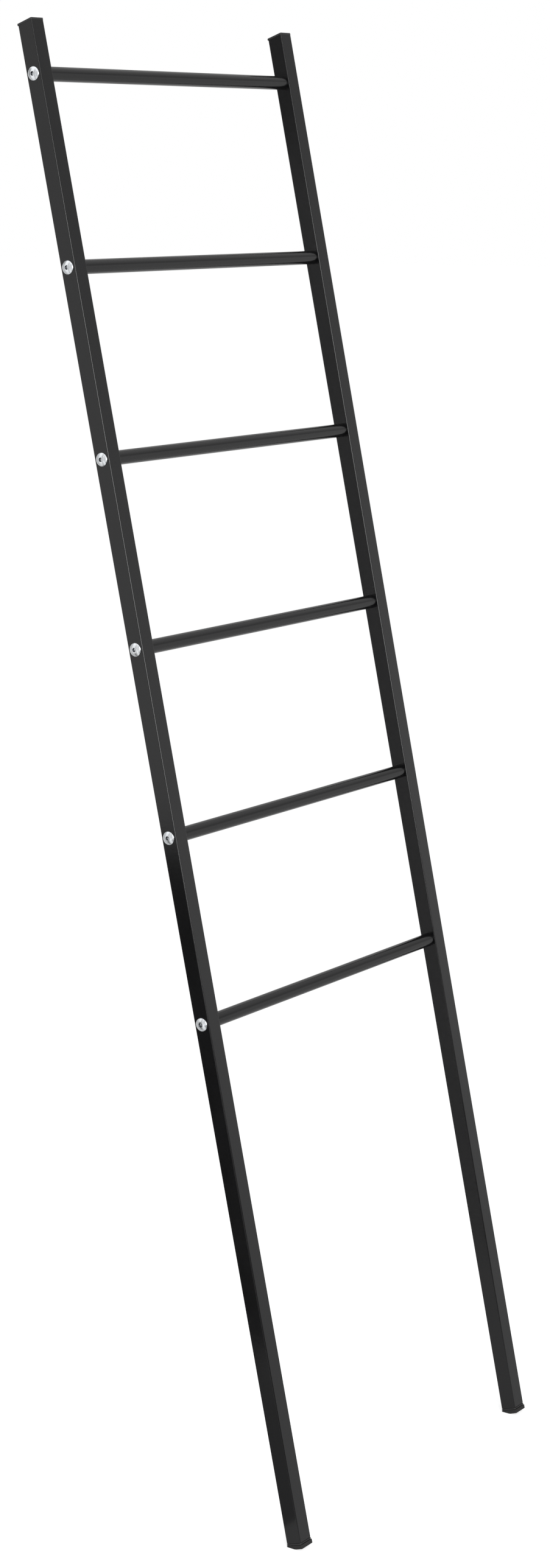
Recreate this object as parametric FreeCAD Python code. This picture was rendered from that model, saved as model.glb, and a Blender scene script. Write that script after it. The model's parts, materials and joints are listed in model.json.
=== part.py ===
"""Leaning towel ladder: two square steel rails joined by round rungs that are bolted through the rails.

The pieces are drawn upright, with the rail's bottom end at zero height, X across the ladder and Y from
its front to its back. Then the whole ladder is leaned back and stood on its soles.
"""
import FreeCAD
import Part
import math
import os

V = FreeCAD.Vector
ALONG_X = V(1, 0, 0)
UPWARDS = V(0, 0, 1)

# Driving dimensions in millimetres, and angles in degrees

# The whole ladder
overall_width = 480.0  # over the outer faces of the rails
lean_angle = 12.0  # from upright, top towards the wall

# Rungs
rung_count = 6
rung_pitch = 210.0
top_rung_drop = 55.0  # from the rail's top end down to the middle of the first rung
bottom_rung_height = 595.0  # from the rail's bottom end up to the middle of the last rung
rung_diameter = 16.0
rung_wall = 1.0

# Rails
rail_size = 20.0
rail_wall = 1.2
rail_corner_radius = 1.2
least_inner_radius = 0.3
end_cut_angle = 7.5  # both ends are sawn this far off square, lower at the back

# Bolts through the rails into the rungs
bolt_diameter = 6.0
thread_engagement = 15.0
bolt_tip_chamfer = 0.8
bolt_hole_clearance = 0.25
head_diameter = 15.0
head_height = 3.0
head_rim_height = 0.8
socket_sides = 6
socket_across_flats = 4.0
socket_depth = 2.0
socket_turn_step = 25.0  # each bolt stops at its own angle

# Threaded inserts in the rung ends
insert_spare_length = 3.0  # beyond the tip of the bolt
insert_clearance = 0.05
thread_clearance = 0.05

# Ribbed plugs of the caps and feet, inside the rail
plug_depth = 16.0
plug_wall = 1.6
plug_rib_count = 3
plug_rib_thickness = 1.0
plug_rib_height = 1.4
plug_clearance = 0.1

# Top caps
cap_thickness = 2.2
cap_side_overhang = 0.3
cap_back_overhang = 1.0  # a bumper that keeps the rail off the wall
cap_edge_radius = 0.6

# Feet
foot_flange_thickness = 2.0
foot_flange_overhang = 0.2
foot_flange_chamfer = 0.3
groove_height = 0.6
groove_depth = 0.8
sole_back_thickness = 1.0  # under the rail's back face, the thin end of the wedge
sole_toe_thickness = 4.7  # towards the front, where the toe stays clear of the floor
sole_roll_radius = 12.0  # between the flat heel and the toe
sole_front_overhang = 1.2
sole_overhang = 0.4  # at the sides and the back
sole_edge_radius = 0.7
peg_diameter = 6.0
peg_clearance = 0.1
peg_floor = 1.0  # rubber left under the peg

# Values worked out from the driving dimensions
rail_length = top_rung_drop + (rung_count - 1) * rung_pitch + bottom_rung_height
half_rail = rail_size / 2
rail_centre = overall_width / 2 - half_rail
rung_length = overall_width - 2 * rail_size
rung_bore = rung_diameter - 2 * rung_wall
inner_radius = max(rail_corner_radius - rail_wall, least_inner_radius)
bolt_length = rail_size + thread_engagement
insert_length = thread_engagement + insert_spare_length
lean_slope = math.tan(math.radians(lean_angle))
cut_slope = math.tan(math.radians(end_cut_angle))
height_tolerance = 1e-4

rung_heights = []
for step in range(rung_count):
    rung_heights.append(rail_length - top_rung_drop - step * rung_pitch)


def sawn_slab(z_low, z_high):
    """All the space between two cuts that slope like the rail's ends, at their heights on its axis."""
    reach = 2 * rail_size  # well past any bar that it cuts
    drop = reach * cut_slope
    corners = [
        V(-reach, -reach, z_low + drop),
        V(-reach, reach, z_low - drop),
        V(-reach, reach, z_high - drop),
        V(-reach, -reach, z_high + drop),
    ]
    return Part.Face(Part.makePolygon(corners + corners[:1])).extrude(V(2 * reach, 0, 0))


def rounded_bar(x_reach, y_front, y_back, z_low, z_high, radius):
    """A bar centred on X with its four upright edges rounded and both ends sawn like the rail's."""
    length = z_high - z_low + 2 * rail_size
    bar = Part.makeBox(2 * x_reach, y_back - y_front, length, V(-x_reach, y_front, z_low - rail_size))
    upright = [edge for edge in bar.Edges if edge.BoundBox.ZLength > length / 2]
    bar = bar.makeFillet(radius, upright)
    return bar.common(sawn_slab(z_low, z_high)).Solids[0]


def square_bar(half_size, z_low, z_high, radius):
    """A rounded bar that is square and centred on the rail's axis."""
    return rounded_bar(half_size, -half_size, half_size, z_low, z_high, radius)


def edges_of_cut(shape, z):
    """The edges of a shape round a sawn end, given the cut's height on the axis."""
    found = []
    for edge in shape.Edges:
        furthest = max(abs(point.z + point.y * cut_slope - z) for point in edge.discretize(3))
        if furthest < height_tolerance:
            found.append(edge)
    return found


def make_rail():
    """A square tube with a bolt hole through both walls at each rung."""
    tube = square_bar(half_rail, 0, rail_length, rail_corner_radius)
    tube = tube.cut(square_bar(half_rail - rail_wall, 0, rail_length, inner_radius))
    hole_radius = bolt_diameter / 2 + bolt_hole_clearance
    for height in rung_heights:
        tube = tube.cut(Part.makeCylinder(hole_radius, rail_size, V(-half_rail, 0, height), ALONG_X))
    return tube


def make_rung(height):
    """A round tube that butts against the inner faces of both rails."""
    start = V(-rung_length / 2, 0, height)
    tube = Part.makeCylinder(rung_diameter / 2, rung_length, start, ALONG_X)
    return tube.cut(Part.makeCylinder(rung_bore / 2, rung_length, start, ALONG_X))


def make_insert(height):
    """The threaded plug in a rung's left end. Its bore stands for the thread."""
    start = V(-rung_length / 2, 0, height)
    plug = Part.makeCylinder(rung_bore / 2 - insert_clearance, insert_length, start, ALONG_X)
    bore_radius = bolt_diameter / 2 + thread_clearance
    return plug.cut(Part.makeCylinder(bore_radius, insert_length, start, ALONG_X))


def make_bolt(height, socket_turn):
    """A left-hand bolt: dome head on the rail's outer face, shank towards +X."""
    head = head_diameter / 2
    shank = bolt_diameter / 2
    tip = shank - bolt_tip_chamfer
    dome_rise = head_height - head_rim_height
    dome_radius = (head ** 2 + dome_rise ** 2) / (2 * dome_rise)
    half_way = math.asin(head / dome_radius) / 2
    dome_middle = V(dome_radius * (1 - math.cos(half_way)) - head_height, dome_radius * math.sin(half_way), 0)
    rim_top = V(-head_rim_height, head, 0)
    crown = V(-head_height, 0, 0)
    outline = [
        V(bolt_length, 0, 0),
        V(bolt_length, tip, 0),
        V(bolt_length - bolt_tip_chamfer, shank, 0),
        V(0, shank, 0),
        V(0, head, 0),
        rim_top,
    ]
    edges = []
    for start, end in zip(outline[:-1], outline[1:]):
        edges.append(Part.makeLine(start, end))
    edges.append(Part.Arc(rim_top, dome_middle, crown).toShape())
    edges.append(Part.makeLine(crown, outline[0]))
    bolt = Part.Face(Part.Wire(edges)).revolve(V(0, 0, 0), ALONG_X, 360)

    corner_radius = socket_across_flats / 2 / math.cos(math.pi / socket_sides)
    corners = []
    for side in range(socket_sides + 1):
        turn = math.radians(360 * side / socket_sides + socket_turn)
        corners.append(V(-head_height, corner_radius * math.cos(turn), corner_radius * math.sin(turn)))
    socket = Part.Face(Part.makePolygon(corners)).extrude(V(socket_depth, 0, 0))
    bolt = bolt.cut(socket)
    bolt.translate(V(-overall_width / 2, 0, height))
    return bolt


def make_plug(rail_end, inwards):
    """The hollow ribbed plug that a cap or foot pushes into the rail. Inwards is 1 up, -1 down."""
    rib_reach = half_rail - rail_wall - plug_clearance
    core_reach = rib_reach - plug_rib_height
    rib_radius = max(inner_radius - plug_clearance, least_inner_radius)

    def slab(reach, from_end, to_end):
        ends = sorted((rail_end + inwards * from_end, rail_end + inwards * to_end))
        return square_bar(reach, ends[0], ends[1], rib_radius)

    plug = slab(core_reach, 0, plug_depth)
    rib_step = plug_depth / (plug_rib_count + 1)
    for rib in range(plug_rib_count):
        middle = (rib + 1) * rib_step
        plug = plug.fuse(slab(rib_reach, middle - plug_rib_thickness / 2, middle + plug_rib_thickness / 2))
    return plug.cut(slab(core_reach - plug_wall, plug_wall, plug_depth))


def make_top_cap():
    """A thin cap on the rail's sloping top end that stands proud at the back, with its ribbed plug."""
    flange = rounded_bar(
        half_rail + cap_side_overhang,
        -half_rail,
        half_rail + cap_back_overhang,
        rail_length,
        rail_length + cap_thickness,
        rail_corner_radius,
    )
    flange = flange.makeFillet(cap_edge_radius, edges_of_cut(flange, rail_length + cap_thickness))
    return flange.fuse(make_plug(rail_length, -1)).removeSplitter()


def sole_depth(y):
    """How far the floor lies below the foot flange at a depth y, measured along the rail."""
    return groove_height + sole_back_thickness + (half_rail - y) * (lean_slope + cut_slope)


def peg_length():
    """The peg reaches as deep as the rubber under its back edge allows."""
    return sole_depth(peg_diameter / 2 + peg_clearance) - peg_floor - peg_clearance


def make_foot_plug():
    """The flange under the rail's bottom end, its ribbed plug above and the peg for the pad below."""
    flange = square_bar(
        half_rail + foot_flange_overhang, -foot_flange_thickness, 0, rail_corner_radius
    )
    flange = flange.makeChamfer(foot_flange_chamfer, edges_of_cut(flange, 0))
    root = foot_flange_thickness / 2  # the peg starts inside the sloping flange
    peg = Part.makeCylinder(peg_diameter / 2, root + peg_length(), V(0, 0, -root), -UPWARDS)
    return flange.fuse([make_plug(0, 1), peg]).removeSplitter()


def underside_edges(shape):
    """The edges round a shape's underside, and those between two of its faces there."""
    edges = []
    for face in shape.Faces:
        u_low, u_high, v_low, v_high = face.ParameterRange
        if face.normalAt((u_low + u_high) / 2, (v_low + v_high) / 2).z < -0.5:
            edges += face.Edges
    outer = []
    inner = []
    for place, edge in enumerate(edges):
        twins = [other for other in edges if other.isSame(edge)]
        if len(twins) == 1:
            outer.append(edge)
        elif not any(other.isSame(edge) for other in edges[:place]):
            inner.append(edge)
    return outer, inner


def make_foot_pad():
    """The pad under the flange: a drawn-in neck, then a heel flat on the floor and a toe clear of it."""
    neck_top = -foot_flange_thickness
    sole_top = neck_top - groove_height
    front = -half_rail - sole_front_overhang
    back = half_rail + sole_overhang
    toe = sole_top - sole_toe_thickness
    sole = rounded_bar(half_rail + sole_overhang, front, back, toe, sole_top, rail_corner_radius)

    floor_size = 4 * rail_size  # a block well past the pad on every side
    floor = Part.makeBox(floor_size, floor_size, floor_size, V(-floor_size / 2, -floor_size / 2, -floor_size))
    floor.rotate(V(0, 0, 0), ALONG_X, lean_angle)
    floor.translate(V(0, 0, neck_top - sole_depth(0)))
    sole = sole.cut(floor).Solids[0]
    crease = underside_edges(sole)[1]
    if crease:
        sole = sole.makeFillet(sole_roll_radius, crease)
    sole = sole.makeFillet(sole_edge_radius, underside_edges(sole)[0])

    neck = square_bar(half_rail - groove_depth, sole_top, neck_top, rail_corner_radius)
    hole_length = peg_length() + peg_clearance - neck_top
    peg_hole = Part.makeCylinder(peg_diameter / 2 + peg_clearance, hole_length, V(0, 0, 0), -UPWARDS)
    return sole.fuse(neck).cut(peg_hole).removeSplitter()


def mirrored(shape):
    """The same shape on the other side of the ladder."""
    return shape.mirror(V(0, 0, 0), ALONG_X)


def build_upright():
    """Every piece of the upright ladder under its name."""
    pieces = {}
    for side, sign in (("left", -1), ("right", 1)):
        for name, shape in (
            ("rail", make_rail()),
            ("top_cap", make_top_cap()),
            ("foot_plug", make_foot_plug()),
            ("foot_pad", make_foot_pad()),
        ):
            shape.translate(V(sign * rail_centre, 0, 0))
            pieces[side + "_" + name] = shape

    left_bolts = []
    for place, height in enumerate(rung_heights):
        number = str(place + 1)
        insert = make_insert(height)
        pieces["rung_" + number] = make_rung(height)
        pieces["rung_" + number + "_inserts"] = Part.makeCompound([insert, mirrored(insert)])
        left_bolts.append(make_bolt(height, place * socket_turn_step))
    pieces["left_bolts"] = Part.makeCompound(left_bolts)
    pieces["right_bolts"] = Part.makeCompound([mirrored(bolt) for bolt in left_bolts])
    return pieces


def stand_leaning(pieces):
    """Leans every piece back, then sets the soles on the floor and the ladder's depth about zero."""
    for shape in pieces.values():
        shape.rotate(V(0, 0, 0), ALONG_X, -lean_angle)
    box = Part.makeCompound(list(pieces.values())).optimalBoundingBox(False)
    for shape in pieces.values():
        shape.translate(V(0, -(box.YMin + box.YMax) / 2, -box.ZMin))
    return pieces


os.makedirs("parts", exist_ok=True)
for name, shape in stand_leaning(build_upright()).items():
    shape.exportStep("parts/" + name + ".step")
    box = shape.optimalBoundingBox(False)
    print(name, len(shape.Solids), "solids", round(shape.Volume), "mm3, low", round(box.ZMin, 2))
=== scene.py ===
# %% [markdown]
# # A leaning towel ladder
# Two square steel rails, six round rungs, twelve bolts, and plastic and rubber ends: this lesson
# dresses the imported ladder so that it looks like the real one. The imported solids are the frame.
# They say where every piece is, so we load them first and remember how large they are.

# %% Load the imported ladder
import bmesh
import bpy
import json
import math
from mathutils import Euler, Matrix, Vector


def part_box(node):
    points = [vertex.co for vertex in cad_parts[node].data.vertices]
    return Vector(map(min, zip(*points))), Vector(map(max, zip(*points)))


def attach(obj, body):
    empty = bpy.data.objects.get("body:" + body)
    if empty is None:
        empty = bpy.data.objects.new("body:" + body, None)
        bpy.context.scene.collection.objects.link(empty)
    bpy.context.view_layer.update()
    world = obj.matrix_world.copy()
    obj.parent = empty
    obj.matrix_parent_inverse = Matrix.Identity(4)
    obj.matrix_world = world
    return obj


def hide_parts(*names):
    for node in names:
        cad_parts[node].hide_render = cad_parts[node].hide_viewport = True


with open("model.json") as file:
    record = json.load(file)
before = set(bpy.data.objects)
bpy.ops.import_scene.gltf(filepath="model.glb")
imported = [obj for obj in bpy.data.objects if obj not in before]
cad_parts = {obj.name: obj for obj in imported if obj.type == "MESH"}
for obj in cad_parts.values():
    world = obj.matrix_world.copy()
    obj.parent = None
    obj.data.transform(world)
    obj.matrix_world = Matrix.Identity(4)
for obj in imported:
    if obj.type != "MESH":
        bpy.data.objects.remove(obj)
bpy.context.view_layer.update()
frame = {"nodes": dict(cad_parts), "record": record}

scene = bpy.context.scene

# %% [markdown]
# ## The camera
# The photo was taken from the ladder's front left, a little above its middle, with a long lens.
# We could guess the camera by eye, but the rails and rungs are straight lines of known length, so
# their slopes in the picture fix where it stood, how far it looked down and how long its lens was.

# %% Stand the camera where the photographer stood
photo_width = 903
photo_height = 2576
camera_place = (-2.778, -1.9803, 1.510)
look_down = 11.53  # degrees below level
look_right = 54.24  # degrees from straight at the ladder's front
tilt = -0.11  # degrees from upright

camera_data = bpy.data.cameras.new("photo_camera")
camera_data.sensor_fit = "VERTICAL"
camera_data.sensor_height = 36.0
camera_data.lens = 68.73

camera = bpy.data.objects.new("photo_camera", camera_data)
camera_turn = Euler((math.radians(90 - look_down), 0, math.radians(-look_right))).to_matrix()
camera_roll = Matrix.Rotation(math.radians(tilt), 3, "Z")
camera.matrix_world = Matrix.Translation(camera_place) @ (camera_turn @ camera_roll).to_4x4()
scene.collection.objects.link(camera)
scene.camera = camera
view_height = 2 * math.degrees(math.atan(camera_data.sensor_height / 2 / camera_data.lens))
print("the camera sees", round(view_height, 1), "degrees of height and a width of",
      round(view_height * photo_width / photo_height, 1))

# %% [markdown]
# ## One way to add a shader node
# Every finish below is a small tree of nodes. Blender wants each node made, set and linked in
# separate steps, which hides the idea, so one function does all three. A colour is written as the
# hex value that a paint program shows, and one more function turns it into the linear light that
# the renderer works with.

# %% Helpers for colours and nodes
def linear(hex_colour):
    """The linear RGBA of an sRGB colour such as #1a1a1b."""
    values = []
    for place in (1, 3, 5):
        part = int(hex_colour[place:place + 2], 16) / 255
        values.append(part / 12.92 if part <= 0.04045 else ((part + 0.055) / 1.055) ** 2.4)
    return (*values, 1.0)


def add_node(tree, kind, settings=None, inputs=None):
    """Adds a node, gives it its settings, and fills its inputs with values or with links."""
    node = tree.nodes.new(kind)
    for name, value in (settings or {}).items():
        setattr(node, name, value)
    for name, value in (inputs or {}).items():
        if isinstance(value, bpy.types.NodeSocket):
            tree.links.new(value, node.inputs[name])
        else:
            node.inputs[name].default_value = value
    return node


print("pure white is", linear("#ffffff"))

# %% [markdown]
# ## A white studio
# The photo is a product shot on white. A wall could be built behind the ladder, but then its edge
# and its shadows have to be hidden. Instead the world itself is white wherever the camera or a
# reflection looks at it, and dimmer where it only lights the ladder. A real studio isn't even: on
# the right its wall darkens above the lit backdrop, and its ceiling is a little brighter again.

# %% The white surround
scene.view_settings.view_transform = "Standard"
ambient_level = 0.5
horizon_level = 0.92
wall_level = 0.5
ceiling_gain = 0.2
# where the brightness turns, by how far a direction points right or up
wall_left = -0.3
wall_right = 0.3
backdrop_top = 0.28
ceiling_start = 0.3
ceiling_full = 0.48

world = bpy.data.worlds.new("white_studio")
scene.world = world
world.use_nodes = True
tree = world.node_tree
tree.nodes.clear()
direction = add_node(tree, "ShaderNodeTexCoord")
along = add_node(tree, "ShaderNodeSeparateXYZ", None, {"Vector": direction.outputs["Generated"]})
wall = add_node(tree, "ShaderNodeMapRange", None,
                {"Value": along.outputs["X"], "From Min": wall_left, "From Max": wall_right,
                 "To Min": 1.0, "To Max": wall_level})
fade = add_node(tree, "ShaderNodeMapRange", None,
                {"Value": along.outputs["Z"], "From Min": 0.0, "From Max": backdrop_top,
                 "To Min": horizon_level, "To Max": wall.outputs[0]})
ceiling = add_node(tree, "ShaderNodeMapRange", None,
                   {"Value": along.outputs["Z"], "From Min": ceiling_start,
                    "From Max": ceiling_full, "To Min": 0.0, "To Max": ceiling_gain})
room = add_node(tree, "ShaderNodeMath", {"operation": "ADD"},
                {0: fade.outputs[0], 1: ceiling.outputs[0]})
path = add_node(tree, "ShaderNodeLightPath")
mirrored = add_node(tree, "ShaderNodeMath", {"operation": "MAXIMUM"},
                    {0: path.outputs["Is Glossy Ray"], 1: path.outputs["Is Transmission Ray"]})
lighting = add_node(tree, "ShaderNodeMix", None,
                    {"Factor": mirrored.outputs[0], "A": ambient_level, "B": room.outputs[0]})
level = add_node(tree, "ShaderNodeMix", None,
                 {"Factor": path.outputs["Is Camera Ray"], "A": lighting.outputs[0], "B": 1.0})
surround = add_node(tree, "ShaderNodeBackground", None,
                    {"Color": linear("#ffffff"), "Strength": level.outputs[0]})
add_node(tree, "ShaderNodeOutputWorld", None, {"Surface": surround.outputs[0]})
print("the surround lights the ladder at", ambient_level)

# %% [markdown]
# ## The floor
# The ladder needs something to stand on, with a soft shadow under its feet. The floor is one wide
# sheet of white paper. It takes the light as paper does, and adds just enough of its own to the
# camera's view that it runs into the white surround with no line. What the metal mirrors of it is
# painted shade and light: it gets less of that lift close to the ladder, a painted shade, and
# more of it far to the left, a painted brightening.

# %% A sheet of white paper
floor_reach = 40.0
paper_lift = 0.6
near_lift = 0.1
far_lift = 0.36
far_left_lift = 0.64
far_left = -4.0
shade_middle = (0.5, -0.8, 0.0)
shade_reach = 0.4  # metres from its middle
shade_end = 4.0
fibre_scale = 30.0

paper_mesh = bpy.data.meshes.new("paper_floor")
paper = bmesh.new()
bmesh.ops.create_grid(paper, x_segments=1, y_segments=1, size=floor_reach)
paper.to_mesh(paper_mesh)
paper.free()
floor = bpy.data.objects.new("paper_floor", paper_mesh)
scene.collection.objects.link(floor)

paper_finish = bpy.data.materials.new("white_background_paper")
paper_finish.use_nodes = True
tree = paper_finish.node_tree
tree.nodes.clear()
place = add_node(tree, "ShaderNodeTexCoord")
fibres = add_node(tree, "ShaderNodeTexNoise", None,
                  {"Vector": place.outputs["Object"], "Scale": fibre_scale})
tone = add_node(tree, "ShaderNodeMix", {"data_type": "RGBA"},
                {"Factor": fibres.outputs["Fac"], "A": linear("#e6e6e6"), "B": linear("#ececec")})
matte = add_node(tree, "ShaderNodeBsdfDiffuse", None, {"Color": tone.outputs["Result"]})
path = add_node(tree, "ShaderNodeLightPath")
mirrored = add_node(tree, "ShaderNodeMath", {"operation": "MAXIMUM"},
                    {0: path.outputs["Is Glossy Ray"], 1: path.outputs["Is Transmission Ray"]})
# painted shade and light: the glow that the metal mirrors is dimmed near the ladder and raised far
# to the left
away = add_node(tree, "ShaderNodeVectorMath", {"operation": "DISTANCE"},
                {0: place.outputs["Object"], 1: shade_middle})
across = add_node(tree, "ShaderNodeSeparateXYZ", None, {"Vector": place.outputs["Object"]})
far = add_node(tree, "ShaderNodeMapRange", None,
               {"Value": across.outputs["X"], "From Min": far_left, "From Max": 0.0,
                "To Min": far_left_lift, "To Max": far_lift})
dim = add_node(tree, "ShaderNodeMapRange", None,
               {"Value": away.outputs["Value"], "From Min": shade_reach, "From Max": shade_end,
                "To Min": near_lift, "To Max": far.outputs[0]})
reflected = add_node(tree, "ShaderNodeMath", {"operation": "MULTIPLY"},
                     {0: mirrored.outputs[0], 1: dim.outputs[0]})
lift = add_node(tree, "ShaderNodeMix", None,
                {"Factor": path.outputs["Is Camera Ray"], "A": reflected.outputs[0],
                 "B": paper_lift})
glow = add_node(tree, "ShaderNodeEmission", None,
                {"Color": linear("#ffffff"), "Strength": lift.outputs[0]})
both = add_node(tree, "ShaderNodeAddShader", None, {0: matte.outputs[0], 1: glow.outputs[0]})
add_node(tree, "ShaderNodeOutputMaterial", None, {"Surface": both.outputs[0]})
paper_mesh.materials.append(paper_finish)
print("the paper reaches", floor_reach, "m each way")

# %% [markdown]
# ## A soft box and some cards
# A studio lights a black, shiny thing with big soft lamps, because what the eye sees on it is
# their reflection. One wide box stands behind the camera: the rails' rounded corners mirror it as
# a bright line, and their flat sides don't. Cards on stands, out of the camera's sight, then shape
# what the metal mirrors. Grey felt turns it dark: at the left, for the lower half of the left
# rail's side, and low in front, so that the bright line ends half-way down. Grey card and white
# board only dim it: across the bolt heads, and behind the ladder, which keeps the right rail's
# side darker than the left's. The grey card lying by the left foot is painted shade: it puts the
# floor's shade there into what the metal mirrors.

# %% The soft box
lamp_place = Vector((-2.2, -2.8, 1.8))
lamp_target = Vector((0, 0, 1.4))

lamp_data = bpy.data.lights.new("soft_box", "AREA")
lamp_data.shape = "RECTANGLE"
lamp_data.size = 3.2
lamp_data.size_y = 1.7
lamp_data.energy = 105.0
lamp = bpy.data.objects.new("soft_box", lamp_data)
lamp_aim = lamp_target - lamp_place
lamp_turn = lamp_aim.to_track_quat("-Z", "Y").to_matrix().to_4x4()
lamp.matrix_world = Matrix.Translation(lamp_place) @ lamp_turn
scene.collection.objects.link(lamp)
print("the soft box is", round(lamp_aim.length, 2), "m away")

# %% The cards
def stand_card(name, foot, turn, lean_back, width, height, finish):
    """A card on its lower edge, which the metal mirrors and the camera doesn't see."""
    mesh = bpy.data.meshes.new(name)
    card = bmesh.new()
    upright = Matrix.Rotation(math.radians(90), 4, "X") @ Matrix.Diagonal((width, height, 1, 1))
    turned = Matrix.Rotation(math.radians(turn), 4, "Z")
    leaning = Matrix.Rotation(math.radians(-lean_back), 4, "X") @ turned
    on_edge = Matrix.Translation((0, 0.5, 0))
    bmesh.ops.create_grid(card, x_segments=1, y_segments=1, size=0.5,
                          matrix=Matrix.Translation(foot) @ leaning @ upright @ on_edge)
    card.to_mesh(mesh)
    card.free()
    mesh.materials.append(finish)
    stand = bpy.data.objects.new(name, mesh)
    scene.collection.objects.link(stand)
    stand.visible_camera = False
    stand.visible_shadow = False
    stand.visible_diffuse = False
    print(name, "stands at", foot, "and is", width, "by", height, "m")


def flat_finish(name, hex_colour):
    """A plain matte colour."""
    finish = bpy.data.materials.new(name)
    finish.use_nodes = True
    finish.node_tree.nodes.clear()
    matte = add_node(finish.node_tree, "ShaderNodeBsdfDiffuse", None, {"Color": linear(hex_colour)})
    add_node(finish.node_tree, "ShaderNodeOutputMaterial", None, {"Surface": matte.outputs[0]})
    return finish


felt = flat_finish("grey_felt", "#6c6c6c")
grey_card = flat_finish("grey_card", "#b8b8b8")
foam_board = flat_finish("white_foam_board", "#f8f8f8")
# name, middle of the lower edge, turn and lean in degrees, width and height in metres, finish
stand_card("left_flag", (-0.66, 0.20, 0.0), 52.5, 12, 0.26, 0.68, felt)
stand_card("low_flag", (-1.50, -2.80, 0.0), -25.0, 0, 5.0, 0.74, felt)
stand_card("floor_felt", (-1.75, -2.80, 0.004), 0.0, 90, 2.9, 2.5, felt)
stand_card("front_flag", (-0.10, -3.00, 0.0), 0.0, 0, 1.4, 2.6, felt)
# painted shade: this grey card lies by the left foot, seen only in reflections, and stands in for
# the floor's shade there
stand_card("painted_foot_shade_card", (-0.45, -0.14, 0.004), 0.0, 90, 0.38, 0.36, grey_card)
stand_card("head_card", (-1.30, 0.42, 0.0), 65.0, 0, 0.24, 2.4, grey_card)
stand_card("side_board", (-2.40, -0.25, 0.5), 90.0, 0, 0.8, 2.1, foam_board)
stand_card("dim_board", (-0.33, 0.26, 0.0), 56.0, 12, 0.34, 1.9, foam_board)
stand_card("top_card", (-0.325, 0.575, 1.53), 56.0, 12, 0.34, 0.34, grey_card)

# %% [markdown]
# ## The ladder's sizes
# Each piece is drawn upright, where a rail is a plain vertical bar, and then leaned back into
# place. The lean needn't be typed in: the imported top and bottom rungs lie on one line, and that
# line is the slope of the rails. The other sizes are those of the stock tube and bolts, in metres.
# The rails' ends aren't sawn square: the saw ran a little lower at the back. A shear that lowers
# every point by how far back it lies turns a square end into that sloping one, at both ends at
# once.

# %% Sizes and the lean
mm = 0.001
rail_size = 20 * mm
rail_wall = 1.2 * mm
corner_radius = 1.2 * mm
bore_corner_radius = 0.3 * mm
rail_length = 1700 * mm
end_slope = math.tan(math.radians(7.5))
overall_width = 480 * mm
rail_centre = (overall_width - rail_size) / 2
rung_diameter = 16 * mm
rung_wall = 1 * mm
rung_length = overall_width - 2 * rail_size
lowest_rung = 595 * mm  # from the rail's bottom end
rung_count = 6
same_place = 0.001 * mm  # points that are closer than this are one


def middle(node):
    """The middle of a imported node's box."""
    low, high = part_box(node)
    return (low + high) / 2


along_rail = middle("rung_1") - middle("rung_6")
rung_pitch = along_rail.length / (rung_count - 1)
lean_angle = math.atan2(along_rail.y, along_rail.z)
rail_foot = middle("rung_6") - along_rail.normalized() * lowest_rung
lean = Matrix.Translation((0, rail_foot.y, rail_foot.z)) @ Matrix.Rotation(-lean_angle, 4, "X")
rung_heights = [lowest_rung + (rung_count - number) * rung_pitch
                for number in range(1, rung_count + 1)]
sawn_slope = Matrix.Shear("XZ", 4, (0, -end_slope))
print("rungs every", round(rung_pitch / mm, 1), "mm, leaning",
      round(math.degrees(lean_angle), 2), "degrees")

# %% [markdown]
# ## From a drawn shape to a piece of the ladder
# A drawn mesh still has to be leaned, smoothed and tied to the frame. Smooth shading alone would
# smear the light over the flat sides of a tube. So edges sharper than a set angle stay sharp, and
# the big flat faces are given more say than the small rounded ones in how light turns at a corner.

# %% Hand a piece over to the frame
sharp_angle = math.radians(35)


def hand_over(shape, name, node):
    """Leans a drawn shape into place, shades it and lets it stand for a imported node."""
    bmesh.ops.remove_doubles(shape, verts=shape.verts, dist=same_place)
    bmesh.ops.recalc_face_normals(shape, faces=shape.faces)
    bmesh.ops.transform(shape, matrix=lean, verts=shape.verts)
    mesh = bpy.data.meshes.new(name)
    shape.to_mesh(mesh)
    shape.free()
    mesh.shade_smooth()
    mesh.set_sharp_from_angle(angle=sharp_angle)
    piece = bpy.data.objects.new(name, mesh)
    scene.collection.objects.link(piece)
    shading = piece.modifiers.new("flat_faces_first", "WEIGHTED_NORMAL")
    shading.keep_sharp = True
    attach(piece, "root")
    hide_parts(node)

    low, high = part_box(node)
    reach = [max(v.co[axis] for v in mesh.vertices) - high[axis] for axis in range(3)]
    print(name, len(mesh.polygons), "faces, beyond the solid by",
          [round(r / mm, 2) for r in reach], "mm")
    return piece


pieces = {}

# %% [markdown]
# ## The rails
# A rail is welded square tube: a strip of steel rolled round, seamed and squared, which leaves
# corners with a radius of about the wall. It could be a box with bevelled edges, but the tube is
# drawn as it is made: two rounded squares give the outline of the wall, which is drawn out long.

# %% Draw the square tubes
def draw_square_tube(x_place):
    """A rail upright, with its bottom end at zero height."""
    outside = (rail_size / 2, corner_radius)
    bore = (rail_size / 2 - rail_wall, bore_corner_radius)
    shape = bmesh.new()
    for reach, radius in (outside, bore):
        square = bmesh.ops.create_grid(shape, x_segments=1, y_segments=1, size=reach)["verts"]
        bmesh.ops.bevel(shape, geom=square, offset=radius, affect="VERTICES",
                        segments=8, profile=0.5, material=-1)
    bmesh.ops.delete(shape, geom=shape.faces[:], context="FACES_ONLY")
    wall = bmesh.ops.bridge_loops(shape, edges=shape.edges[:])["faces"]
    drawn = bmesh.ops.extrude_face_region(shape, geom=wall)["geom"]
    ends = [part for part in drawn if isinstance(part, bmesh.types.BMVert)]
    bmesh.ops.translate(shape, verts=ends, vec=(0, 0, rail_length))
    bmesh.ops.transform(shape, matrix=sawn_slope, verts=shape.verts)
    bmesh.ops.translate(shape, verts=shape.verts, vec=(x_place, 0, 0))
    return shape


for side, sign in (("left", -1), ("right", 1)):
    pieces[side + "_rail"] = hand_over(draw_square_tube(sign * rail_centre), side + "_rail_tube",
                                       side + "_rail")

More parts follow.
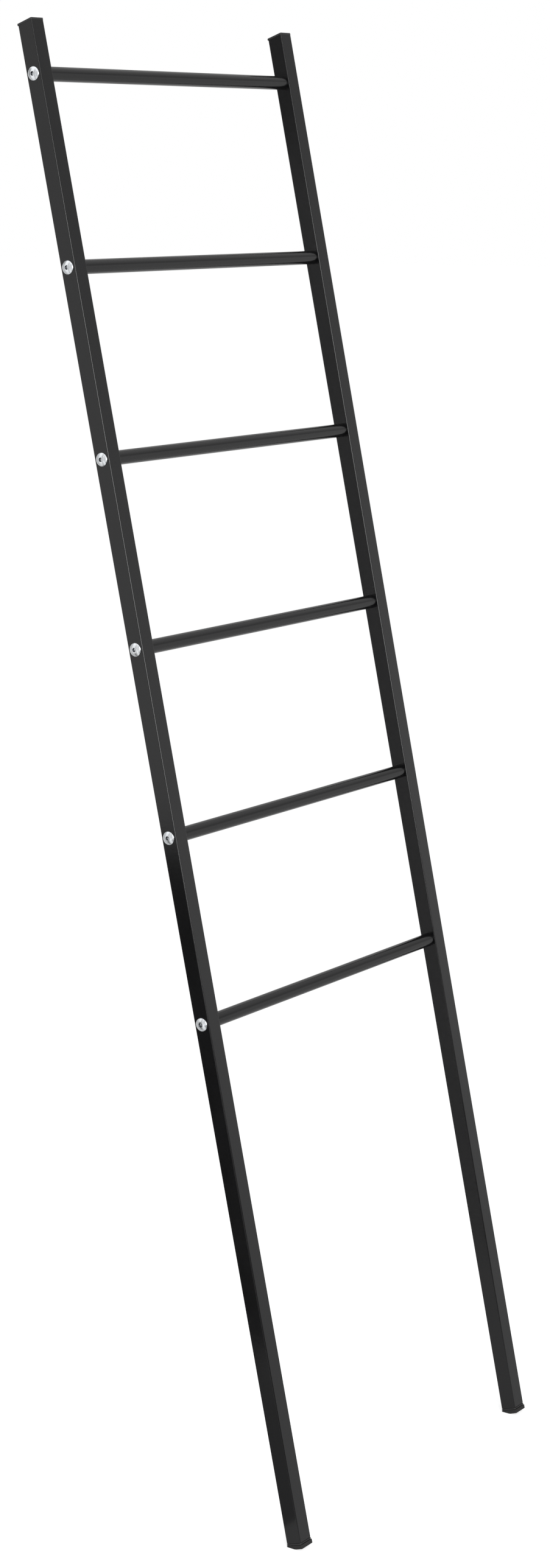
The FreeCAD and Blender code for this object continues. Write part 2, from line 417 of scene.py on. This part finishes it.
# %% [markdown]
# ## The rungs
# A rung is round tube, sawn to length and touched on a grinder, so its end has a small bevel that
# shows as a fine line against the rail. A cylinder would do for the outside, but spinning the
# outline of the wall round the tube's axis gives the bore and the bevel in the same stroke.

# %% Spin the round tubes
sawn_bevel = 0.3 * mm


def spin_round_tube(height):
    """A rung at its height on the upright ladder."""
    end = rung_length / 2
    outside = rung_diameter / 2
    bore = outside - rung_wall
    shape = bmesh.new()
    outline = [shape.verts.new(place) for place in (
        (-end, 0, bore), (-end, 0, outside), (end, 0, outside), (end, 0, bore))]
    shape.faces.new(outline)
    bmesh.ops.bevel(shape, geom=outline[1:3], offset=sawn_bevel, affect="VERTICES",
                    segments=2, profile=0.5, material=-1)
    bmesh.ops.delete(shape, geom=shape.faces[:], context="FACES_ONLY")
    bmesh.ops.spin(shape, geom=shape.verts[:] + shape.edges[:], cent=(0, 0, 0), axis=(1, 0, 0),
                   angle=math.tau, steps=96, use_merge=True)
    bmesh.ops.translate(shape, verts=shape.verts, vec=(0, 0, height))
    return shape


for number, height in enumerate(rung_heights, 1):
    rung = "rung_" + str(number)
    pieces[rung] = hand_over(spin_round_tube(height), rung + "_tube", rung)

# %% [markdown]
# ## The bolts
# Each rung end is held by a dome-head bolt through the rail. The head is cold-formed and plated,
# with a hex socket punched into its crown. A boolean cut could punch it, but it leaves ragged
# faces. So the head is spun with an open mouth, and a six-sided ring with as many points as the
# spin is bridged to that mouth and pushed in.

# %% Spin one bolt and punch its socket
head_radius = 7.5 * mm
head_height = 3 * mm
rim_height = 0.8 * mm
rim_bevel = 0.25 * mm
bolt_radius = 3 * mm
bolt_length = 35 * mm
mouth_radius = 2.6 * mm
mouth_bevel = 0.2 * mm
socket_sides = 6
socket_across_flats = 4 * mm
socket_depth = 2 * mm
drill_point = 0.5 * mm  # the cone at the bottom of the socket
points_around = 48

dome_rise = head_height - rim_height
dome_radius = (head_radius ** 2 + dome_rise ** 2) / (2 * dome_rise)
dome_turn = math.asin(head_radius / dome_radius) - math.asin(mouth_radius / dome_radius)


def spin_bolt():
    """A bolt along X with its head towards -X and the underside of the head at zero."""
    shape = bmesh.new()
    rim = shape.verts.new((-rim_height, head_radius, 0))
    bmesh.ops.spin(shape, geom=[rim], cent=(dome_radius - head_height, 0, 0), axis=(0, 0, 1),
                   angle=dome_turn, steps=10)
    crown = min((v.co.x for v in shape.verts))
    last = rim
    below = []
    for place in ((0, head_radius, 0), (0, bolt_radius, 0),
                  (bolt_length, bolt_radius, 0), (bolt_length, 0, 0)):
        point = shape.verts.new(place)
        shape.edges.new((last, point))
        below.append(point)
        last = point
    bmesh.ops.bevel(shape, geom=[rim, below[0]], offset=rim_bevel, affect="VERTICES",
                    segments=3, profile=0.5, material=-1)
    bmesh.ops.spin(shape, geom=shape.verts[:] + shape.edges[:], cent=(0, 0, 0), axis=(1, 0, 0),
                   angle=math.tau, steps=points_around, use_merge=True)
    bmesh.ops.remove_doubles(shape, verts=shape.verts, dist=same_place)

    mouth = [edge for edge in shape.edges if edge.is_boundary]
    corner = socket_across_flats / 2 / math.cos(math.pi / socket_sides)
    hexagon = bmesh.ops.create_circle(shape, segments=socket_sides, radius=corner,
                                      matrix=Matrix.Translation((crown + mouth_bevel, 0, 0))
                                      @ Matrix.Rotation(math.pi / 2, 4, "Y"))["verts"]
    sides = list({edge for vert in hexagon for edge in vert.link_edges})
    bmesh.ops.subdivide_edges(shape, edges=sides, cuts=points_around // socket_sides - 1)
    ring = [edge for edge in shape.edges if edge.is_wire]
    bmesh.ops.bridge_loops(shape, edges=mouth + ring)
    pushed = bmesh.ops.extrude_edge_only(shape, edges=ring)["geom"]
    deep = [part for part in pushed if isinstance(part, bmesh.types.BMVert)]
    bmesh.ops.translate(shape, verts=deep, vec=(socket_depth - mouth_bevel, 0, 0))
    bottom = [edge for edge in shape.edges if edge.is_boundary]
    floor_face = bmesh.ops.contextual_create(shape, geom=bottom)["faces"]
    drilled = bmesh.ops.poke(shape, faces=floor_face)["verts"]
    bmesh.ops.translate(shape, verts=drilled, vec=(drill_point, 0, 0))
    return shape


sample = spin_bolt()
print("one bolt has", len(sample.faces), "faces and",
      sum(edge.is_boundary for edge in sample.edges), "open edges")
sample.free()

# %% [markdown]
# Twelve of them hold the ladder. The six on a side are one piece, like a bag of fasteners, and
# each has stopped at its own angle, as tightened bolts do. Turning marks follow the head round its
# own axis, so each point also remembers how far from that axis it is, for the finish to read.

# %% Set six bolts on each side
socket_turn = math.radians(25)


def set_bolts(sign):
    """The six bolts of one side: -1 is the left and 1 the right."""
    shape = spin_bolt()
    from_axis = shape.verts.layers.float.new("from_axis")
    for vert in shape.verts:
        vert[from_axis] = math.hypot(vert.co.y, vert.co.z)
    first = shape.verts[:] + shape.edges[:] + shape.faces[:]
    facing = Matrix.Rotation(0 if sign < 0 else math.pi, 4, "Z")
    for number, height in enumerate(rung_heights):
        copied = bmesh.ops.duplicate(shape, geom=first)["geom"]
        points = [part for part in copied if isinstance(part, bmesh.types.BMVert)]
        seat = Matrix.Translation((sign * overall_width / 2, 0, height))
        turned = Matrix.Rotation(number * socket_turn, 4, "X")
        bmesh.ops.transform(shape, verts=points, matrix=seat @ facing @ turned)
    bmesh.ops.delete(shape, geom=first[:], context="VERTS")
    return shape


for side, sign in (("left", -1), ("right", 1)):
    pieces[side + "_bolts"] = hand_over(set_bolts(sign), side + "_bolts_plated",
                                        side + "_bolts")

# %% [markdown]
# ## The top caps
# A moulded cap closes each rail's top. It is a thin plate with rounded edges that stands a
# millimetre proud towards the wall, and a plug below it that grips the inside of the tube. The
# plate starts as a block: its four upright edges are rounded first, then the rim of its top.

# %% Block out a rounded plate and a plug
cap_thickness = 2.2 * mm
cap_side_overhang = 0.3 * mm
cap_back_overhang = 1 * mm
cap_rim_radius = 0.6 * mm
plug_depth = 16 * mm
plug_wall = 3 * mm
plug_clearance = 0.1 * mm
plug_bore = 0.9  # of its depth
least_rise = 0.1 * mm  # edges that rise by more than this are upright


def block(x_reach, front, back, low, high):
    """A closed box drawn in its place."""
    shape = bmesh.new()
    centre = Vector((0, (front + back) / 2, (low + high) / 2))
    stretch = Matrix.Diagonal((2 * x_reach, back - front, high - low, 1))
    bmesh.ops.create_cube(shape, size=1, matrix=Matrix.Translation(centre) @ stretch)
    return shape


def round_corners(shape, radius):
    """Rounds the upright edges."""
    upright = [edge for edge in shape.edges
               if abs(edge.verts[0].co.z - edge.verts[1].co.z) > least_rise]
    bmesh.ops.bevel(shape, geom=upright, offset=radius, affect="EDGES",
                    segments=6, profile=0.5, material=-1)


def round_rim(shape, height, radius, steps):
    """Rounds the edges that lie at one height."""
    rim = [edge for edge in shape.edges
           if max(abs(vert.co.z - height) for vert in edge.verts) < same_place]
    bmesh.ops.bevel(shape, geom=rim, offset=radius, affect="EDGES",
                    segments=steps, profile=0.5, material=-1)


def join(shape, other):
    """Adds another drawn shape to a shape."""
    carried = bpy.data.meshes.new("carried")
    other.to_mesh(carried)
    other.free()
    shape.from_mesh(carried)
    bpy.data.meshes.remove(carried)


def draw_plug(low, high, open_end):
    """The hollow plug that grips the tube from inside, open at one end."""
    grip = rail_size / 2 - rail_wall - plug_clearance
    plug = block(grip, -grip, grip, low, high)
    mouth = [face for face in plug.faces
             if abs(face.calc_center_median().z - open_end) < same_place]
    bmesh.ops.inset_region(plug, faces=mouth, thickness=plug_wall, use_even_offset=True)
    hollow = bmesh.ops.extrude_face_region(plug, geom=mouth)["geom"]
    points = [part for part in hollow if isinstance(part, bmesh.types.BMVert)]
    closed_end = low if open_end == high else high
    bmesh.ops.translate(plug, verts=points, vec=(0, 0, (closed_end - open_end) * plug_bore))
    bmesh.ops.delete(plug, geom=mouth, context="FACES")
    return plug


def draw_top_cap(x_place):
    """The plate on a rail's sloping top end, with its plug below."""
    top = rail_length + cap_thickness
    plate = block(rail_size / 2 + cap_side_overhang, -rail_size / 2,
                  rail_size / 2 + cap_back_overhang, rail_length, top)
    round_corners(plate, corner_radius)
    round_rim(plate, top, cap_rim_radius, 5)
    join(plate, draw_plug(rail_length - plug_depth, rail_length, rail_length - plug_depth))
    bmesh.ops.transform(plate, matrix=sawn_slope, verts=plate.verts)
    bmesh.ops.translate(plate, verts=plate.verts, vec=(x_place, 0, 0))
    return plate


for side, sign in (("left", -1), ("right", 1)):
    pieces[side + "_top_cap"] = hand_over(draw_top_cap(sign * rail_centre),
                                          side + "_top_cap_moulding",
                                          side + "_top_cap")

# %% [markdown]
# ## The feet
# A foot has two layers: a plastic plug with a thin flange under the tube, and a rubber pad below
# it. The pad's heel is a wedge, because the rail leans and the floor doesn't, and its toe follows
# the sawn end of the rail, clear of the floor. The wedge could be drawn with sloping corners, but
# cutting a straight block with the floor's own plane can't go wrong.

# %% Draw the foot plugs
flange_thickness = 2 * mm
flange_overhang = 0.2 * mm
flange_rim_radius = 0.2 * mm
shadow_gap = 0.6 * mm  # where the flange doesn't quite close on the tube
shoulder_inset = 1 * mm
peg_radius = 3 * mm
peg_length = 1.5 * mm  # its root; the rest would lie unseen inside the pad


def draw_foot_plug(x_place):
    """The flange under a rail's bottom end, with its plug above and its peg below."""
    reach = rail_size / 2 + flange_overhang
    flange = block(reach, -reach, reach, -flange_thickness, -shadow_gap)
    round_corners(flange, corner_radius)
    round_rim(flange, -shadow_gap, flange_rim_radius, 2)
    shoulder_reach = reach - shoulder_inset
    shoulder = block(shoulder_reach, -shoulder_reach, shoulder_reach, -shadow_gap, 0)
    round_corners(shoulder, corner_radius)
    join(flange, shoulder)
    join(flange, draw_plug(0, plug_depth, plug_depth))
    peg_middle = -flange_thickness - peg_length / 2
    bmesh.ops.create_cone(flange, cap_ends=True, segments=32,
                          radius1=peg_radius, radius2=peg_radius, depth=peg_length,
                          matrix=Matrix.Translation((0, 0, peg_middle)))
    bmesh.ops.transform(flange, matrix=sawn_slope, verts=flange.verts)
    bmesh.ops.translate(flange, verts=flange.verts, vec=(x_place, 0, 0))
    return flange


for side, sign in (("left", -1), ("right", 1)):
    pieces[side + "_foot_plug"] = hand_over(draw_foot_plug(sign * rail_centre),
                                            side + "_foot_plug_moulding",
                                            side + "_foot_plug")

# %% Cut the foot pads
groove_height = 0.6 * mm
groove_depth = 0.8 * mm
pad_overhang = 0.4 * mm  # at the sides and the back
pad_front_overhang = 1.2 * mm
thin_end = 1 * mm  # rubber under the rail's back face
toe_thickness = 4.7 * mm
tread_radius = 0.7 * mm
roll_radius = 12 * mm  # between the flat heel and the toe
facing_down = -0.5  # a face whose normal is lower than this belongs to the underside
floor_slope = math.tan(lean_angle)
roll_length = roll_radius * math.tan((lean_angle + math.atan(end_slope)) / 2)


def underside_edges(shape):
    """The edges round a shape's underside, and those between two of its faces there."""
    shape.normal_update()
    underside = {face for face in shape.faces if face.normal.z < facing_down}
    outer = [edge for edge in shape.edges if len(underside.intersection(edge.link_faces)) == 1]
    inner = [edge for edge in shape.edges if len(underside.intersection(edge.link_faces)) == 2]
    return outer, inner


def cut_foot_pad(x_place):
    """The pad under a foot plug: a narrow neck, then a flat heel and a toe clear of the floor."""
    sole_top = -flange_thickness - groove_height
    under_axis = sole_top - thin_end - rail_size / 2 * (floor_slope + end_slope)
    pad = block(rail_size / 2 + pad_overhang, -rail_size / 2 - pad_front_overhang,
                rail_size / 2 + pad_overhang, sole_top - toe_thickness, sole_top)
    round_corners(pad, corner_radius)
    bmesh.ops.transform(pad, matrix=sawn_slope, verts=pad.verts)
    bmesh.ops.bisect_plane(pad, geom=pad.verts[:] + pad.edges[:] + pad.faces[:],
                           plane_co=(0, 0, under_axis), plane_no=(0, -floor_slope, 1),
                           clear_inner=True)
    bmesh.ops.contextual_create(pad, geom=[edge for edge in pad.edges if edge.is_boundary])
    crease = underside_edges(pad)[1]
    bmesh.ops.bevel(pad, geom=crease, offset=roll_length, affect="EDGES",
                    segments=6, profile=0.5, material=-1)
    tread = underside_edges(pad)[0]
    bmesh.ops.bevel(pad, geom=tread, offset=tread_radius, affect="EDGES",
                    segments=4, profile=0.5, material=-1)
    neck_reach = rail_size / 2 - groove_depth
    neck = block(neck_reach, -neck_reach, neck_reach, sole_top, -flange_thickness)
    round_corners(neck, corner_radius)
    bmesh.ops.transform(neck, matrix=sawn_slope, verts=neck.verts)
    join(pad, neck)
    bmesh.ops.translate(pad, verts=pad.verts, vec=(x_place, 0, 0))
    return pad


for side, sign in (("left", -1), ("right", 1)):
    pieces[side + "_foot_pad"] = hand_over(cut_foot_pad(sign * rail_centre),
                                           side + "_foot_pad_rubber",
                                           side + "_foot_pad")

# %% [markdown]
# ## Black powder coat
# The tubes are sprayed with dry polyester powder and baked, so the paint melts and levels. It
# never levels fully: it keeps a soft ripple a few millimetres wide, called orange peel, and its
# gloss drifts a little from place to place. Both are noise, at the size they have on real tube.

# %% The powder coat
def noise_scale(size_mm):
    """The Scale of a noise texture whose spots are that many millimetres wide."""
    return 1000 / size_mm


def new_finish(name):
    """An empty material with a Principled shader, and its Object coordinates."""
    finish = bpy.data.materials.new(name)
    finish.use_nodes = True
    finish.node_tree.nodes.clear()
    place = add_node(finish.node_tree, "ShaderNodeTexCoord")
    return finish, finish.node_tree, place.outputs["Object"]


# Baked polyester powder, semi-gloss: deep black with a clear but softened reflection
powder_coat, tree, place = new_finish("black_polyester_powder_coat")
drift = add_node(tree, "ShaderNodeTexNoise", None,
                 {"Vector": place, "Scale": noise_scale(60), "Detail": 3.0})
colour = add_node(tree, "ShaderNodeMix", {"data_type": "RGBA"},
                  {"Factor": drift.outputs["Fac"], "A": linear("#080809"), "B": linear("#0e0e0f")})
gloss = add_node(tree, "ShaderNodeMapRange", None,
                 {"Value": drift.outputs["Fac"], "From Min": 0.3, "From Max": 0.7,
                  "To Min": 0.17, "To Max": 0.24})
peel = add_node(tree, "ShaderNodeTexNoise", None,
                {"Vector": place, "Scale": noise_scale(4), "Detail": 2.0})
ripple = add_node(tree, "ShaderNodeBump", None,
                  {"Height": peel.outputs["Fac"], "Strength": 0.9, "Distance": 0.05 * mm})
paint = add_node(tree, "ShaderNodeBsdfPrincipled", None,
                 {"Base Color": colour.outputs["Result"], "Roughness": gloss.outputs["Result"],
                  "IOR": 1.45, "Normal": ripple.outputs["Normal"]})
add_node(tree, "ShaderNodeOutputMaterial", None, {"Surface": paint.outputs[0]})
print(powder_coat.name, "has", len(tree.nodes), "nodes")

# %% [markdown]
# ## Bright zinc plate
# The bolts are plated in a barrel with bright zinc, then dipped blue-white to keep them from
# tarnishing. That leaves a pale, slightly cool metal that blurs what it mirrors, with faint rings
# from the forming die. The rings read the distance from the bolt's axis that each point carries,
# and so do the walls of the socket, which are painted dark: painted shade inside the deep hole.

# %% The zinc plate
# Barrel-plated zinc with a blue passivation: a bright, soft mirror that is a touch cool
zinc, tree, place = new_finish("blue_white_zinc_plate")
# distances from the bolt's axis, which bound the painted shade on the socket walls
socket_floor_end = 1.8 * mm
socket_wall_start = 1.95 * mm
socket_wall_end = 2.35 * mm
crown_start = 2.5 * mm
cloud = add_node(tree, "ShaderNodeTexNoise", None,
                 {"Vector": place, "Scale": noise_scale(3), "Detail": 3.0})
colour = add_node(tree, "ShaderNodeMix", {"data_type": "RGBA"},
                  {"Factor": cloud.outputs["Fac"], "A": linear("#e2e8ee"), "B": linear("#f2f3f3")})
gloss = add_node(tree, "ShaderNodeMapRange", None,
                 {"Value": cloud.outputs["Fac"], "To Min": 0.18, "To Max": 0.34})
radius = add_node(tree, "ShaderNodeAttribute", {"attribute_name": "from_axis"})
inside = add_node(tree, "ShaderNodeMapRange", None,
                  {"Value": radius.outputs["Fac"], "From Min": socket_wall_end,
                   "From Max": crown_start, "To Min": 1.0, "To Max": 0.0})
off_floor = add_node(tree, "ShaderNodeMapRange", None,
                     {"Value": radius.outputs["Fac"], "From Min": socket_floor_end,
                      "From Max": socket_wall_start})
# painted shade: the socket walls are mixed towards dark grey, standing in for the shade in the hole
socket_shade_mask = add_node(tree, "ShaderNodeMath", {"operation": "MULTIPLY"},
                 {0: inside.outputs[0], 1: off_floor.outputs[0]})
zinc_and_socket_shade = add_node(tree, "ShaderNodeMix", {"data_type": "RGBA"},
                  {"Factor": socket_shade_mask.outputs[0], "A": colour.outputs["Result"],
                   "B": linear("#3c3f44")})
spread = add_node(tree, "ShaderNodeCombineXYZ", None, {"X": radius.outputs["Fac"]})
# die rings lie about 0.2 mm apart; drawn 0.8 mm apart so that they show
rings = add_node(tree, "ShaderNodeTexNoise", None,
                 {"Vector": spread.outputs[0], "Scale": noise_scale(0.8)})
marks = add_node(tree, "ShaderNodeBump", None,
                 {"Height": rings.outputs["Fac"], "Strength": 0.25, "Distance": 0.03 * mm})
plate = add_node(tree, "ShaderNodeBsdfPrincipled", None,
                 {"Base Color": zinc_and_socket_shade.outputs["Result"], "Metallic": 1.0,
                  "Roughness": gloss.outputs["Result"], "Normal": marks.outputs["Normal"]})
add_node(tree, "ShaderNodeOutputMaterial", None, {"Surface": plate.outputs[0]})
print(zinc.name, "has", len(tree.nodes), "nodes")

# %% [markdown]
# ## Black polyethylene
# The caps and foot plugs are injection moulded in soft black plastic. The mould is spark-eroded,
# so the plastic comes out with a fine even grain that scatters light, and no clear reflection.

# %% The moulded plastic
# Low-density polyethylene from a spark-eroded mould: dull black with a fine grain
plastic, tree, place = new_finish("black_polyethylene")
flow = add_node(tree, "ShaderNodeTexNoise", None,
                {"Vector": place, "Scale": noise_scale(9), "Detail": 2.0})
colour = add_node(tree, "ShaderNodeMix", {"data_type": "RGBA"},
                  {"Factor": flow.outputs["Fac"], "A": linear("#19191a"), "B": linear("#282829")})
gloss = add_node(tree, "ShaderNodeMapRange", None,
                 {"Value": flow.outputs["Fac"], "To Min": 0.42, "To Max": 0.56})
# spark grain is about 0.2 mm wide; drawn 0.7 mm wide so that it shows
grain = add_node(tree, "ShaderNodeTexNoise", None,
                 {"Vector": place, "Scale": noise_scale(0.7), "Detail": 2.0})
pits = add_node(tree, "ShaderNodeBump", None,
                {"Height": grain.outputs["Fac"], "Strength": 0.4, "Distance": 0.05 * mm})
moulded = add_node(tree, "ShaderNodeBsdfPrincipled", None,
                   {"Base Color": colour.outputs["Result"], "Roughness": gloss.outputs["Result"],
                    "IOR": 1.51, "Normal": pits.outputs["Normal"]})
add_node(tree, "ShaderNodeOutputMaterial", None, {"Surface": moulded.outputs[0]})
print(plastic.name, "has", len(tree.nodes), "nodes")

# %% [markdown]
# ## Foot rubber
# The pads are pressed from black rubber, which takes the mould's blasted surface and then blooms:
# a trace of wax works its way out and leaves a paler, duller film in patches.

# %% The rubber
# Pressed nitrile rubber: the darkest and dullest piece, with a faint grey bloom
rubber, tree, place = new_finish("black_nitrile_rubber")
bloom = add_node(tree, "ShaderNodeTexNoise", None,
                 {"Vector": place, "Scale": noise_scale(6), "Detail": 4.0})
colour = add_node(tree, "ShaderNodeMix", {"data_type": "RGBA"},
                  {"Factor": bloom.outputs["Fac"], "A": linear("#0b0b0b"), "B": linear("#1d1c1b")})
gloss = add_node(tree, "ShaderNodeMapRange", None,
                 {"Value": bloom.outputs["Fac"], "To Min": 0.62, "To Max": 0.82})
# the blasted grain is about 0.3 mm wide; drawn 0.9 mm wide so that it shows
grit = add_node(tree, "ShaderNodeTexNoise", None,
                {"Vector": place, "Scale": noise_scale(0.9), "Detail": 3.0})
pores = add_node(tree, "ShaderNodeBump", None,
                 {"Height": grit.outputs["Fac"], "Strength": 0.5, "Distance": 0.08 * mm})
pressed = add_node(tree, "ShaderNodeBsdfPrincipled", None,
                   {"Base Color": colour.outputs["Result"], "Roughness": gloss.outputs["Result"],
                    "IOR": 1.52, "Normal": pores.outputs["Normal"]})
add_node(tree, "ShaderNodeOutputMaterial", None, {"Surface": pressed.outputs[0]})
print(rubber.name, "has", len(tree.nodes), "nodes")

# %% [markdown]
# ## Turned steel
# The threaded inserts sit inside the rung ends, where nobody sees them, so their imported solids
# stay. They still get an honest finish: a lathe leaves fine grooves along the tube's axis.

# %% The inserts' steel
# Free-cutting steel off the lathe: grey metal with regular feed marks along X
turned_steel, tree, place = new_finish("turned_steel")
# the lathe's feed is about 0.1 mm a turn; drawn 0.5 mm so that it shows
feed_scale = math.pi / 10 * noise_scale(0.5)  # a wave's Scale counts bands in another unit
feed = add_node(tree, "ShaderNodeTexWave", {"bands_direction": "X"},
                {"Vector": place, "Scale": feed_scale, "Distortion": 0.4})
colour = add_node(tree, "ShaderNodeMix", {"data_type": "RGBA"},
                  {"Factor": feed.outputs["Fac"], "A": linear("#8a8c8f"), "B": linear("#a3a5a7")})
grooves = add_node(tree, "ShaderNodeBump", None,
                   {"Height": feed.outputs["Fac"], "Strength": 0.3, "Distance": 0.02 * mm})
steel = add_node(tree, "ShaderNodeBsdfPrincipled", None,
                 {"Base Color": colour.outputs["Result"], "Metallic": 1.0, "Roughness": 0.36,
                  "Normal": grooves.outputs["Normal"]})
add_node(tree, "ShaderNodeOutputMaterial", None, {"Surface": steel.outputs[0]})
print(turned_steel.name, "has", len(tree.nodes), "nodes")

# %% [markdown]
# ## Finish every piece
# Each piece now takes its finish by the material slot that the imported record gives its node, so
# the looks and the record can't drift apart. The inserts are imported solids, which keep their mesh
# and only change what is in their material slots.

# %% Give each piece its finish
finishes = {
    "black_powder_coat": powder_coat,
    "zinc_plate": zinc,
    "black_plastic": plastic,
    "foot_rubber": rubber,
    "insert_steel": turned_steel,
}
for subpart in frame["record"]["subparts"]:
    node = subpart["node"]
    finish = finishes[subpart["material_slot"]]
    if node in pieces:
        pieces[node].data.materials.append(finish)
    else:
        for slot in frame["nodes"][node].material_slots:
            slot.material = finish
print(len(pieces), "new pieces and", len(frame["nodes"]) - len(pieces), "packed nodes are finished")
